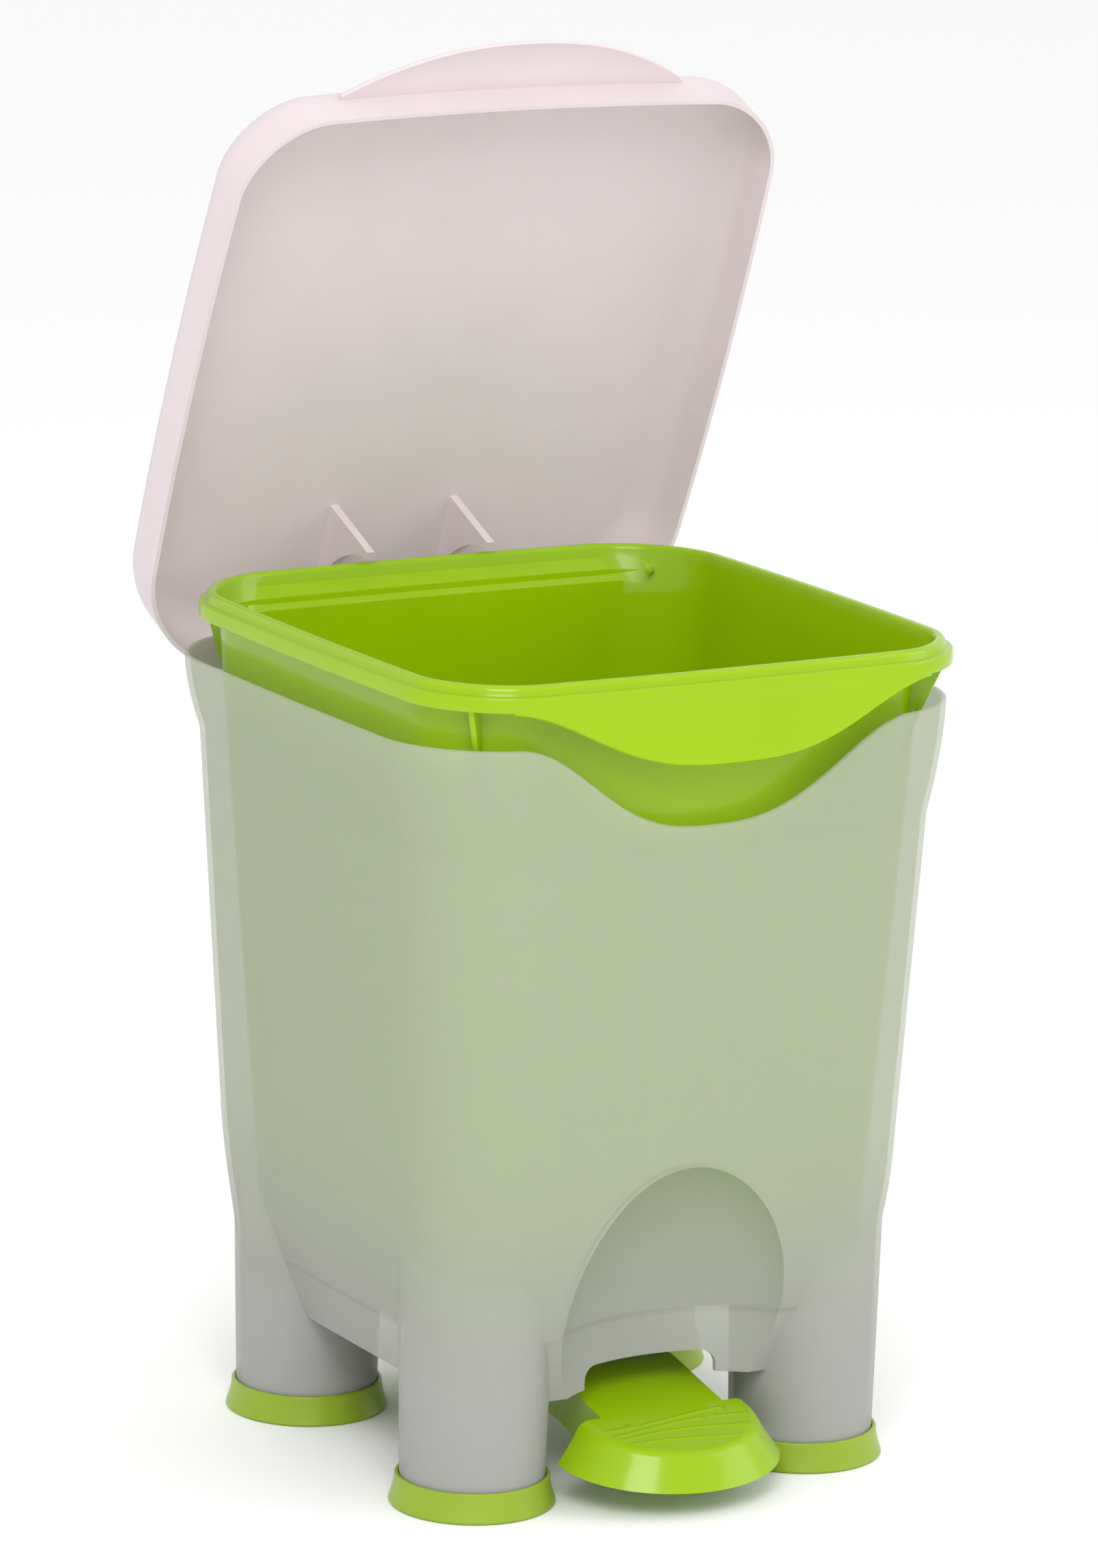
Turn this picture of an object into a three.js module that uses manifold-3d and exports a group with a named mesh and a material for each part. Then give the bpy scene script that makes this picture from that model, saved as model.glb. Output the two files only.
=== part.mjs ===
// Small pedal bin: a frosted outer body on four legs, a lift-out bucket, a hinged lid,
// green slip-on feet, and a rocking pedal that lifts the lid through a steel wire.
// Millimetres, +Z up, front towards -Y. The pieces are laid out about a point on the floor midway
// between the legs, and at the end the whole bin is moved so that the origin is the middle of its base.
// Every piece is drawn with the lid shut and the pedal up, then set as it stands: lid open, pedal down.
import * as THREE from 'three';
import { mergeVertices } from 'three/addons/utils/BufferGeometryUtils.js';
import Module from 'manifold-3d';

const wasm = await Module();
wasm.setup();

// ---------------------------------------------------------------- driving dimensions
const CLEAR = 0.3; // gap kept between pieces that touch

const body = { halfX: 105.8, front: -103.4, back: 109.9, corner: 40, bow: 1.6 }; // outline of the rim
const bodyRimZ = 265.7;
const bodyWall = 1.8;
const bodyBottomZ = { front: 35, side: 39 };
const floorZ = { under: 56, top: 58 };
const shoulder = { backZ: bodyRimZ - 23.7, frontZ: bodyRimZ - 40.7, inset: 5.4, curve: 1.7 };

const legInset = { side: 41.8, front: 43.4, back: 49.9 }; // leg centres, in from the rim's outline
const legRadius = { foot: 24.4, top: 26.2 };
const legTopZ = 118; // the leg has sunk into the wall well below this
const wallDraft = Math.tan(THREE.MathUtils.degToRad(3.7));
const tuck = { z: 104, endZ: 31, depth: 14, power: 1.7 }; // the wall pulls in towards its bottom edge

const smile = { halfWidth: 74, drop: 31.5, power: 1.35 }; // dip in the body's front rim
const alcove = { x: 0, y: body.front + 8.4, z: 42, rx: 48, ry: 33, rz: 74 }; // toe recess over the pedal

// outline of the bucket's flange: inside the body's rim at the sides and back, over it in front
const flangeFit = { side: 2.4, front: 6.2, back: 2.5 };
const bucket = { cornerFront: 36, cornerBack: 41, bow: 3 };
bucket.halfX = body.halfX - flangeFit.side;
bucket.front = body.front - flangeFit.front;
bucket.back = body.back - flangeFit.back;
// outline of the bucket's wall where it meets the flange
const flangeReach = { side: 6.3, front: 14, back: 11.9 };
const bucketTop = { corner: 31, bow: 2 };
bucketTop.halfX = bucket.halfX - flangeReach.side;
bucketTop.front = bucket.front + flangeReach.front;
bucketTop.back = bucket.back - flangeReach.back;
const bucketWall = 1.6;
const bucketBottomZ = floorZ.top + CLEAR;
const bucketBottomRound = { height: 9, inset: 5 };
const flange = { underZ: bodyRimZ + 13.6, face: 5.1, height: 8.4, stepInset: 2.4, ridge: 4.2 };
flange.faceZ = flange.underZ + flange.face;
flange.topZ = flange.underZ + flange.height;
const bucketDraft = Math.tan(THREE.MathUtils.degToRad(4.5));
const lip = { halfWidth: 80, drop: 21, power: 1.45, flare: 3.2 };
// corner webs: how far their edge lies inside the flange's edge, at the flange and at lowZ
const web = { thick: 1.8, front: [3, 14.5], back: [1.2, 8.6] };
web.lowZ = flange.underZ - 25.3;
web.endZ = flange.underZ - 35.3;

const lidWall = 1.5;
const lidGap = { side: 0.8, front: 2.5, back: 2.3 }; // inside of the lid's skirt to the flange's edge
const lid = { cornerFront: 32, cornerBack: 44, bow: 3.5 };
lid.halfX = bucket.halfX + lidGap.side + lidWall;
lid.front = bucket.front - lidGap.front - lidWall;
lid.back = bucket.back + lidGap.back + lidWall;
const lidEdgeRadius = 12;
const lidTopZ = flange.topZ + 5.3;
const lidSkirtZ = bodyRimZ + 2.3;
const lidCrown = 2;
const tongue = { halfWidth: 66, length: 18.5, thick: 2, droop: 4 };

const hinge = { y: body.back - 8.4, z: bodyRimZ - 16.2, pinRadius: 1.5, eyeWall: 2.1 };
Object.assign(hinge, { armX: 23.7, armThick: 3, lugThick: 3.2 });
hinge.eyeRadius = hinge.pinRadius + hinge.eyeWall;
// the arm's plate runs forward over the flange: its front edge, lower corner and gap round the flange
const fin = { reach: 40.7, cornerUp: 13, clear: 2.2 };
const lidOpenDeg = 66.7;
const crank = { reach: 6, tipRadius: 2.2, gap: 0.4 };

const pedalPivot = { y: 27, z: 33, pinRadius: 2, lugThick: 3.2 };
const pedalArm = { halfWidth: 23.5, wall: 2, depth: 15, slopeDeg: 11.5, rearSlopeDeg: 3.4 };
pedalPivot.lugX = pedalArm.halfWidth + CLEAR + 0.2;
const tread = { legGap: 8, rearZ: 27, length: 27, flare: 8.4, skirt: 13.5, wall: 2.2 };
tread.halfWidth = body.halfX - legInset.side - legRadius.foot - tread.legGap; // between the front legs
tread.rearY = body.front + 25.9;
pedalArm.bendY = tread.rearY + 35.5;
const armNotch = { halfWidth: pedalArm.halfWidth + 2, topZ: 42.8 };

const wire = { radius: 1.5, leanDeg: 3.4 };
wire.halfSpan = pedalArm.halfWidth + 4.5 + wire.radius;
wire.topY = hinge.y - 5.9;
const tailNotch = { halfWidth: wire.halfSpan + 6.5, topZ: 53 };

const shoe = { flare: 2, height: 10.2, floor: 1.8, wall: 1.4 };
shoe.grip = legRadius.foot + CLEAR;
shoe.bottomRadius = shoe.grip + shoe.wall + shoe.flare;

// ---------------------------------------------------------------- small helpers
const rad = THREE.MathUtils.degToRad;
const lerp = THREE.MathUtils.lerp;
const clamp = THREE.MathUtils.clamp;

function toSolid(geometry) {
  const g = geometry.clone();
  g.deleteAttribute('normal');
  g.deleteAttribute('uv');
  const merged = mergeVertices(g, 1e-5);
  const mesh = new wasm.Mesh({
    numProp: 3,
    vertProperties: new Float32Array(merged.attributes.position.array),
    triVerts: new Uint32Array(merged.index.array),
  });
  return new wasm.Manifold(mesh);
}

function toGeometry(solid) {
  const mesh = solid.getMesh();
  const g = new THREE.BufferGeometry();
  g.setAttribute('position', new THREE.BufferAttribute(new Float32Array(mesh.vertProperties), 3));
  g.setIndex(new THREE.BufferAttribute(new Uint32Array(mesh.triVerts), 1));
  g.computeVertexNormals();
  return g;
}

function boxSolid(x0, x1, y0, y1, z0, z1) {
  const g = new THREE.BoxGeometry(x1 - x0, y1 - y0, z1 - z0);
  g.translate((x0 + x1) / 2, (y0 + y1) / 2, (z0 + z1) / 2);
  return toSolid(g);
}

// a round bar along X
function barX(radius, x0, x1, y, z, sides = 20) {
  const g = new THREE.CylinderGeometry(radius, radius, x1 - x0, sides);
  g.rotateZ(Math.PI / 2);
  g.translate((x0 + x1) / 2, y, z);
  return toSolid(g);
}

// a flat plate drawn in the (y, z) plane, from x0 to x1
function plateYZ(points, x0, x1) {
  const shape = new THREE.Shape(points.map(([y, z]) => new THREE.Vector2(y, z)));
  const g = new THREE.ExtrudeGeometry(shape, { depth: x1 - x0, bevelEnabled: false });
  g.applyMatrix4(new THREE.Matrix4().set(0, 0, 1, x0, 1, 0, 0, 0, 0, 1, 0, 0, 0, 0, 0, 1));
  return toSolid(g);
}

function arcPoints(cy, cz, radius, fromDeg, toDeg, steps) {
  return Array.from({ length: steps + 1 }, (_, i) => {
    const a = rad(lerp(fromDeg, toDeg, i / steps));
    return [cy + radius * Math.cos(a), cz + radius * Math.sin(a)];
  });
}

// rings of equal length, joined in order; ends capped, or joined round when closed
function loft(rings, closed = false) {
  const n = rings[0].length;
  const positions = rings.flat().flatMap((p) => [p.x, p.y, p.z]);
  const index = [];
  const last = closed ? rings.length : rings.length - 1;
  for (let r = 0; r < last; r += 1) {
    const a = r * n;
    const b = ((r + 1) % rings.length) * n;
    for (let i = 0; i < n; i += 1) {
      const j = (i + 1) % n;
      index.push(a + i, a + j, b + j, a + i, b + j, b + i);
    }
  }
  if (!closed) {
    [0, rings.length - 1].forEach((r) => {
      const centre = positions.length / 3;
      const mid = rings[r].reduce((s, p) => s.add(p), new THREE.Vector3()).divideScalar(n);
      positions.push(mid.x, mid.y, mid.z);
      for (let i = 0; i < n; i += 1) {
        const a = r * n + i;
        const b = r * n + ((i + 1) % n);
        if (r === 0) index.push(centre, b, a);
        else index.push(centre, a, b);
      }
    });
  }
  const g = new THREE.BufferGeometry();
  g.setAttribute('position', new THREE.Float32BufferAttribute(positions, 3));
  g.setIndex(index);
  return toSolid(g);
}

// ---------------------------------------------------------------- bowed, round-cornered outlines
const CORNER_STEPS = 7;
const SIDE_STEPS = [6, 4, 16, 4]; // back, left, front, right

// one turn of an outline, counter-clockwise from above, pulled in by inset; front and back corners
// may differ. Each place also says which way is out.
function outline(o, inset = 0) {
  const places = [];
  const radii = [o.cornerBack ?? o.corner, o.cornerBack ?? o.corner];
  radii.push(o.cornerFront ?? o.corner, o.cornerFront ?? o.corner);
  const signs = [[1, 1], [-1, 1], [-1, -1], [1, -1]];
  const midY = (o.front + o.back) / 2;
  const halfY = (o.back - o.front) / 2;
  const corners = signs.map(([sx, sy], k) => {
    const r = radii[k];
    const cx = sx * (o.halfX - r);
    const cy = midY + sy * (halfY - r);
    return Array.from({ length: CORNER_STEPS + 1 }, (_, i) => {
      const a = rad(90 * k + (90 * i) / CORNER_STEPS);
      return { x: cx + r * Math.cos(a), y: cy + r * Math.sin(a), nx: Math.cos(a), ny: Math.sin(a) };
    });
  });
  corners.forEach((corner, k) => {
    places.push(...corner);
    const from = corner[CORNER_STEPS];
    const to = corners[(k + 1) % 4][0];
    for (let i = 1; i < SIDE_STEPS[k]; i += 1) {
      const t = i / SIDE_STEPS[k];
      places.push({ x: lerp(from.x, to.x, t), y: lerp(from.y, to.y, t), nx: from.nx, ny: from.ny });
    }
  });
  return places.map((p) => {
    const bowX = o.bow * ((p.y - midY) / halfY) ** 2;
    const bowY = o.bow * (p.x / o.halfX) ** 2;
    const x = p.x - Math.sign(p.x) * bowX * Math.abs(p.nx) - p.nx * inset;
    const y = p.y - Math.sign(p.y - midY) * bowY * Math.abs(p.ny) - p.ny * inset;
    return { x, y, nx: p.nx, ny: p.ny };
  });
}

// a ring at height z(place) and inset(place, z)
function ring(o, zOf, insetOf) {
  return outline(o).map((p) => {
    const z = typeof zOf === 'number' ? zOf : zOf(p);
    const inset = typeof insetOf === 'number' ? insetOf : insetOf(p, z);
    return new THREE.Vector3(p.x - p.nx * inset, p.y - p.ny * inset, z);
  });
}

// a bell that is 1 in the middle and 0 beyond halfWidth
function bell(x, halfWidth, power) {
  const u = clamp(Math.abs(x) / halfWidth, 0, 1);
  return Math.cos((Math.PI / 2) * u ** power) ** 2;
}

// ---------------------------------------------------------------- outer body
const shoulderZ = (p) => {
  const t = (p.y - body.front) / (body.back - body.front);
  return lerp(shoulder.frontZ, shoulder.backZ, clamp(t, 0, 1));
};

// how far the outer face lies inside the rim's outline, at a place and height
function bodyInset(p, z) {
  const zs = shoulderZ(p);
  if (z >= zs) {
    const t = (z - zs) / (bodyRimZ - zs);
    return shoulder.inset * (1 - t) ** shoulder.curve;
  }
  const under = Math.max(0, tuck.z - z) / (tuck.z - tuck.endZ);
  const share = 1 - Math.max(0, p.ny); // the back wall runs straight down behind the lift wire
  return shoulder.inset + (zs - z) * wallDraft + share * tuck.depth * under ** tuck.power;
}

const bodyEdge = (p) => lerp(bodyBottomZ.front, bodyBottomZ.side, Math.abs(p.nx));

const bodyRim = (p) => bodyRimZ - (p.ny < -0.5 ? smile.drop * bell(p.x, smile.halfWidth, smile.power) : 0);

// rings of the wall from the bottom edge to the rim, moved in by a thickness
function wallRings(thickness, bottomZ, topZ = null) {
  const fractions = [0, 0.07, 0.14, 0.22, 0.32, 0.55, 1];
  const low = fractions.map((f) => ring(body, (p) => lerp(bottomZ(p), shoulderZ(p), f),
    (p, z) => bodyInset(p, z) + thickness));
  const high = [0.25, 0.5, 0.75, 1].map((f) => ring(body,
    (p) => lerp(shoulderZ(p), topZ ?? bodyRim(p), f),
    (p, z) => bodyInset(p, z) + thickness));
  return [...low, ...high];
}

function alcoveSolid(grow) {
  const g = new THREE.SphereGeometry(1, 36, 24);
  g.rotateX(Math.PI / 2);
  g.scale(alcove.rx + grow, alcove.ry + grow, alcove.rz + grow);
  g.translate(alcove.x, alcove.y, alcove.z);
  return toSolid(g);
}

function legPlaces() {
  const places = [];
  ['front', 'back'].forEach((fb) => ['left', 'right'].forEach((side) => places.push({
    name: `${fb}_${side}`,
    x: (side === 'left' ? -1 : 1) * (body.halfX - legInset.side),
    y: fb === 'front' ? body.front + legInset.front : body.back - legInset.back,
  })));
  return places;
}

const legFootZ = shoe.floor + CLEAR;

function legSolid(place, inset, bottomZ, topZ) {
  const r = (z) => lerp(legRadius.foot, legRadius.top, (z - legFootZ) / (legTopZ - legFootZ)) - inset;
  const profile = [[0, bottomZ], [r(bottomZ), bottomZ], [r(topZ), topZ], [0, topZ]];
  const g = new THREE.LatheGeometry(profile.map(([x, y]) => new THREE.Vector2(x, y)), 40);
  g.rotateX(Math.PI / 2);
  g.translate(place.x, place.y, 0);
  return toSolid(g);
}

function hingeLugs() {
  const gapHalf = hinge.armThick / 2 + CLEAR;
  const lugs = [];
  [-1, 1].forEach((side) => [-1, 1].forEach((edge) => {
    const near = side * hinge.armX + edge * gapHalf;
    const far = near + edge * hinge.lugThick;
    lugs.push(boxSolid(Math.min(near, far), Math.max(near, far), hinge.y - 3.2, hinge.y + 6.5,
      hinge.z - 9, hinge.z + 3.6));
  }));
  return lugs;
}

function outerBody() {
  const outer = loft(wallRings(0, bodyEdge));
  const inside = loft([...wallRings(bodyWall, (p) => bodyEdge(p) - 2, bodyRimZ),
    ring(body, bodyRimZ + 20, bodyWall)]);
  const aboveFloor = inside.subtract(boxSolid(-200, 200, -200, 200, 0, floorZ.top));
  const floorPlate = outer.intersect(boxSolid(-200, 200, -200, 200, floorZ.under, floorZ.top));
  let solid = outer.subtract(inside);
  legPlaces().forEach((place) => {
    const core = legSolid(place, bodyWall, legFootZ - 1, legTopZ - bodyWall);
    solid = solid.subtract(core).add(legSolid(place, 0, legFootZ, legTopZ).subtract(core));
  });
  solid = solid.subtract(aboveFloor).add(floorPlate);
  solid = solid.add(alcoveSolid(bodyWall).intersect(outer)).subtract(alcoveSolid(0));
  const notch = armNotch.halfWidth;
  solid = solid.subtract(boxSolid(-notch, notch, -200, -40, 0, armNotch.topZ));
  const tail = tailNotch.halfWidth;
  solid = solid.subtract(boxSolid(-tail, tail, 60, 200, 0, tailNotch.topZ));
  hingeLugs().forEach((lug) => {
    solid = solid.add(lug.intersect(outer));
  });
  const slotHalf = hinge.armThick / 2 + CLEAR;
  [-1, 1].forEach((side) => {
    const x = side * hinge.armX;
    solid = solid.subtract(boxSolid(x - slotHalf, x + slotHalf, hinge.y - 10, 130, hinge.z - 9,
      bodyRimZ + 1));
  });
  solid = solid.subtract(barX(hinge.pinRadius + 0.05, -hingePinEnd, hingePinEnd, hinge.y, hinge.z));
  solid = solid.subtract(boxSolid(-wire.halfSpan - 2.6, wire.halfSpan + 2.6, wireY(floorZ.top) - 2.4,
    wireY(floorZ.top) + 2.4, floorZ.under - 1, floorZ.top + 1));
  [-1, 1].forEach((side) => {
    const near = side * pedalPivot.lugX;
    const far = near + side * pedalPivot.lugThick;
    solid = solid.add(pedalLug(Math.min(near, far), Math.max(near, far)));
  });
  return solid.subtract(barX(pedalPivot.pinRadius + 0.05, -60, 60, pedalPivot.y, pedalPivot.z));
}

// a lug that hangs from the floor and holds the pedal's pin
function pedalLug(x0, x1) {
  const { y, z } = pedalPivot;
  return plateYZ([[y + 9, floorZ.under + 1], [y - 9, floorZ.under + 1],
    ...arcPoints(y, z, 6.5, 180, 360, 10)], x0, x1);
}

// ---------------------------------------------------------------- bucket
// a ring of the wall, pulled in by the draft, a thickness and the rounded bottom edge
function bucketRing(z, thickness) {
  const drop = Math.max(0, flange.underZ - z);
  const t = clamp(1 - (z - bucketBottomZ) / bucketBottomRound.height, 0, 1);
  return ring(bucketTop, z, drop * bucketDraft + bucketBottomRound.inset * t ** 2.5 + thickness);
}

function bucketWallRings(thickness, bottomZ) {
  const low = [0, 0.3, 0.6, 1].map((t) => bottomZ + bucketBottomRound.height * t);
  return [...low, lerp(bottomZ, flange.underZ, 0.5), flange.underZ].map((z) => bucketRing(z, thickness));
}

function bucketShell() {
  const outer = bucketWallRings(0, bucketBottomZ);
  const rim = [
    ring(bucket, flange.underZ, 0),
    ring(bucket, flange.faceZ - 0.8, 0),
    ring(bucket, flange.faceZ, 0.8),
    ring(bucket, flange.faceZ, flange.stepInset),
    ring(bucket, flange.topZ - 1, flange.stepInset + 0.3),
    ring(bucket, flange.topZ, flange.stepInset + 1.3),
    ring(bucket, flange.topZ, flange.stepInset + flange.ridge - 1.3),
    ring(bucket, flange.topZ - 1.2, flange.stepInset + flange.ridge),
  ];
  const inner = bucketWallRings(bucketWall, bucketBottomZ + bucketWall).reverse();
  return loft([...outer, ...rim, ...inner]);
}

// the smile-shaped lip under the front of the flange, a thin curtain that flares outwards
function bucketLip() {
  const across = 24;
  const down = 5;
  const front = outline(bucket).filter((p) => p.ny < -0.5);
  const faceY = (x) => {
    let best = front[0];
    front.forEach((p) => {
      if (Math.abs(p.x - x) < Math.abs(best.x - x)) best = p;
    });
    const near = front.filter((p) => Math.abs(p.x - x) < 30).sort((a, b) => a.x - b.x);
    for (let i = 0; i + 1 < near.length; i += 1) {
      const [a, b] = [near[i], near[i + 1]];
      if (a.x <= x && b.x >= x) return lerp(a.y, b.y, (x - a.x) / Math.max(b.x - a.x, 1e-6));
    }
    return best.y;
  };
  const rings = [];
  for (let i = 0; i <= across; i += 1) {
    const x = lerp(-lip.halfWidth, lip.halfWidth, i / across) * 0.985;
    const drop = lip.drop * bell(x, lip.halfWidth, lip.power) + 0.4;
    const section = [];
    for (let k = 0; k <= down; k += 1) {
      const t = k / down;
      section.push([faceY(x) - lip.flare * (drop / lip.drop) * t ** 1.6, flange.underZ + 1 - (drop + 1) * t]);
    }
    const back = section.map(([y, z]) => [y + bucketWall, z]).reverse();
    rings.push([...section, ...back].map(([y, z]) => new THREE.Vector3(x, y, z)));
  }
  return loft(rings);
}

// thin webs across the corners, from the wall out to the flange, tapering downwards
function cornerWebs() {
  const webs = [];
  [[-1, -1], [1, -1], [-1, 1], [1, 1]].forEach(([sx, sy]) => {
    const radius = sy > 0 ? bucket.cornerBack : bucket.cornerFront;
    const edgeY = sy > 0 ? bucket.back - radius : bucket.front + radius;
    const centre = new THREE.Vector3(sx * (bucket.halfX - radius), edgeY, 0);
    const reach = radius - bucket.bow / 2;
    const root = reach - 16;
    const [topInset, lowInset] = sy > 0 ? web.back : web.front;
    const profile = [[root, flange.underZ + 1], [reach - topInset, flange.underZ + 1],
      [reach - topInset, flange.underZ], [reach - lowInset, web.lowZ], [root, web.endZ]];
    const shape = new THREE.Shape(profile.map(([r, z]) => new THREE.Vector2(r, z)));
    const g = new THREE.ExtrudeGeometry(shape, { depth: web.thick, bevelEnabled: false });
    g.translate(0, 0, -web.thick / 2);
    g.rotateX(Math.PI / 2);
    g.rotateZ(Math.atan2(sy, sx));
    g.translate(centre.x, centre.y, 0);
    webs.push(toSolid(g));
  });
  return webs;
}

function innerBucket() {
  let solid = bucketShell().add(bucketLip());
  const filled = loft(bucketWallRings(bucketWall / 2, bucketBottomZ));
  cornerWebs().forEach((rib) => {
    solid = solid.add(rib.subtract(filled));
  });
  const room = bodyWall + 1.2;
  const outer = loft(bucketWallRings(0, bucketBottomZ));
  const dent = alcoveSolid(room + bucketWall).intersect(outer);
  return solid.add(dent).subtract(alcoveSolid(room));
}

// ---------------------------------------------------------------- lid, drawn shut
function lidSurface(inset, topZ, bottomZ) {
  const r = lidEdgeRadius - inset;
  const rings = [ring(lid, bottomZ, inset)];
  for (let i = 0; i <= 5; i += 1) {
    const a = (Math.PI / 2) * (i / 5);
    rings.push(ring(lid, topZ - r + r * Math.sin(a), inset + r * (1 - Math.cos(a))));
  }
  [0.75, 0.45, 0.2].forEach((s) => {
    const flat = ring(lid, topZ, lidEdgeRadius);
    const midY = (lid.front + lid.back) / 2;
    rings.push(flat.map((p) => new THREE.Vector3(p.x * s, midY + (p.y - midY) * s,
      topZ + lidCrown * (1 - s * s))));
  });
  return rings;
}

// hinge arm: a plate that hooks over the bucket's flange and goes down behind it to the pin
function lidArm(side) {
  const { y, z } = hinge;
  const x0 = side * hinge.armX - hinge.armThick / 2;
  const back = bucket.back + 1;
  const profile = [
    [back + 6, lidTopZ], [back, lidTopZ], [back, z + 24.5], [y + 1, z + hinge.eyeRadius + 12],
    [y - hinge.eyeRadius, z + 2],
    ...arcPoints(y, z, hinge.eyeRadius, 180, 330, 8),
    [back + 3, z + 8], [back + 6, z + 20.5],
  ];
  const ridgeY = bucket.back - flange.stepInset - 1.3;
  const round = Math.hypot(ridgeY - y, flange.topZ - z) + fin.clear;
  const top = lidTopZ + lidCrown;
  const start = 180 - THREE.MathUtils.radToDeg(Math.asin(fin.cornerUp / round));
  const hook = [[y - fin.reach, top], [y - fin.reach, z + fin.cornerUp],
    ...arcPoints(y, z, round, start, 90, 12), [back + 2, z + round], [back + 2, top]];
  return plateYZ(profile.reverse(), x0, x0 + hinge.armThick)
    .add(plateYZ(hook, x0, x0 + hinge.armThick));
}

function crankTip(side) {
  const x0 = side * hinge.armX - hinge.armThick / 2;
  const a = 180 + lidOpenDeg / 2;
  const tipY = hinge.y + crank.reach * Math.cos(rad(a));
  const tipZ = hinge.z + crank.reach * Math.sin(rad(a));
  const tip = barX(crank.tipRadius, x0, x0 + hinge.armThick, tipY, tipZ, 16);
  const dy = Math.cos(rad(a + 90)) * crank.tipRadius;
  const dz = Math.sin(rad(a + 90)) * crank.tipRadius;
  const neck = plateYZ([[tipY - dy, tipZ - dz], [hinge.y - dy, hinge.z - dz], [hinge.y + dy, hinge.z + dz],
    [tipY + dy, tipZ + dz]].reverse(), x0, x0 + hinge.armThick);
  return tip.add(neck);
}

function lidTongue() {
  const steps = 20;
  const rings = [];
  const rootZ = lidTopZ - lidEdgeRadius + 1;
  for (let i = 0; i <= steps; i += 1) {
    const u = lerp(-1, 1, i / steps) * 0.995;
    const x = u * tongue.halfWidth;
    const rootY = lid.front + lid.bow * (x / lid.halfX) ** 2 + lidWall;
    const reach = tongue.length * (1 - Math.abs(u) ** 2.3) + 1;
    const section = [0, 0.5, 1].map((t) => [rootY - (reach + lidWall) * t, rootZ - tongue.droop * t * t
      * (reach / tongue.length)]);
    const under = section.map(([y, z]) => [y, z - tongue.thick]).reverse();
    rings.push([...section, ...under].map(([y, z]) => new THREE.Vector3(x, y, z)));
  }
  return loft(rings);
}

function lidSolid() {
  const outer = loft(lidSurface(0, lidTopZ, lidSkirtZ));
  const inner = loft(lidSurface(lidWall, lidTopZ - lidWall, lidSkirtZ - 1));
  const shell = outer.subtract(inner);
  let solid = shell.add(lidTongue().subtract(inner));
  const within = outer.add(boxSolid(-200, 200, -200, 200, 200, lidSkirtZ + 0.1));
  [-1, 1].forEach((side) => {
    const inside = lidArm(side).intersect(within);
    solid = solid.add(inside).add(crankTip(side));
  });
  return solid.subtract(barX(hinge.pinRadius + 0.05, -60, 60, hinge.y, hinge.z));
}

// ---------------------------------------------------------------- feet
function shoeGeometry() {
  const { grip } = shoe;
  const flareSteps = 5;
  const points = [[0, 0], [shoe.bottomRadius - 0.6, 0], [shoe.bottomRadius, 0.8]];
  for (let i = 1; i <= flareSteps; i += 1) {
    const t = i / flareSteps;
    const r = lerp(shoe.bottomRadius, grip + shoe.wall, 1 - (1 - t) ** 1.6);
    points.push([r, lerp(0.8, shoe.height - 0.5, t)]);
  }
  points.push([grip + shoe.wall - 0.5, shoe.height], [grip + 0.35, shoe.height]);
  points.push([grip + 0.1, shoe.height - 0.6], [grip, shoe.floor], [0, shoe.floor]);
  const g = new THREE.LatheGeometry(points.map(([x, y]) => new THREE.Vector2(x, y)), 40);
  g.rotateX(Math.PI / 2);
  return g;
}

// ---------------------------------------------------------------- pedal, drawn in its pressed place
function armTopZ(y) {
  const rearSlope = Math.tan(rad(pedalArm.rearSlopeDeg));
  const frontSlope = Math.tan(rad(pedalArm.slopeDeg));
  const bendZ = tread.rearZ + (pedalArm.bendY - tread.rearY) * frontSlope;
  return y > pedalArm.bendY ? bendZ + (y - pedalArm.bendY) * rearSlope : tread.rearZ
    + (y - tread.rearY) * frontSlope;
}

// the D-shaped tread: a round-fronted plate with a flared skirt, its mouth at the back and below
function treadRings(inset, drop) {
  const steps = 20;
  const slope = Math.tan(rad(pedalArm.slopeDeg));
  const levels = [0, 0.1, 0.35, 0.7, 1];
  const rings = levels.map((f) => {
    const rounding = 1.4 * (1 - Math.min(1, f / 0.1));
    const flare = tread.flare * f ** 1.2 - inset - rounding;
    const a = tread.halfWidth + flare;
    const b = tread.length + flare * 0.72;
    const low = drop + (tread.skirt - drop) * f;
    const pts = [];
    for (let i = 0; i <= steps; i += 1) {
      const turn = Math.PI + (Math.PI * i) / steps;
      pts.push([a * Math.cos(turn), tread.rearY - 1.5 + b * Math.sin(turn)]);
    }
    pts.push([a, tread.rearY + 2 - inset], [-a, tread.rearY + 2 - inset]);
    const tilt = slope * (1 - 0.4 * f);
    return pts.map(([x, y]) => new THREE.Vector3(x, y, tread.rearZ + (y - tread.rearY) * tilt - low));
  });
  return rings.reverse();
}

function wireY(z) {
  const topBarZ = hinge.z + crank.reach * Math.sin(rad(lidOpenDeg / 2)) - crankToBar;
  return wire.topY - (topBarZ - z) * Math.tan(rad(wire.leanDeg));
}

const crankToBar = crank.tipRadius + crank.gap + wire.radius;
const hingePinEnd = hinge.armX + hinge.armThick / 2 + hinge.lugThick + 1;
const wireTopZ = hinge.z + crank.reach * Math.sin(rad(lidOpenDeg / 2)) - crankToBar;

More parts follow.
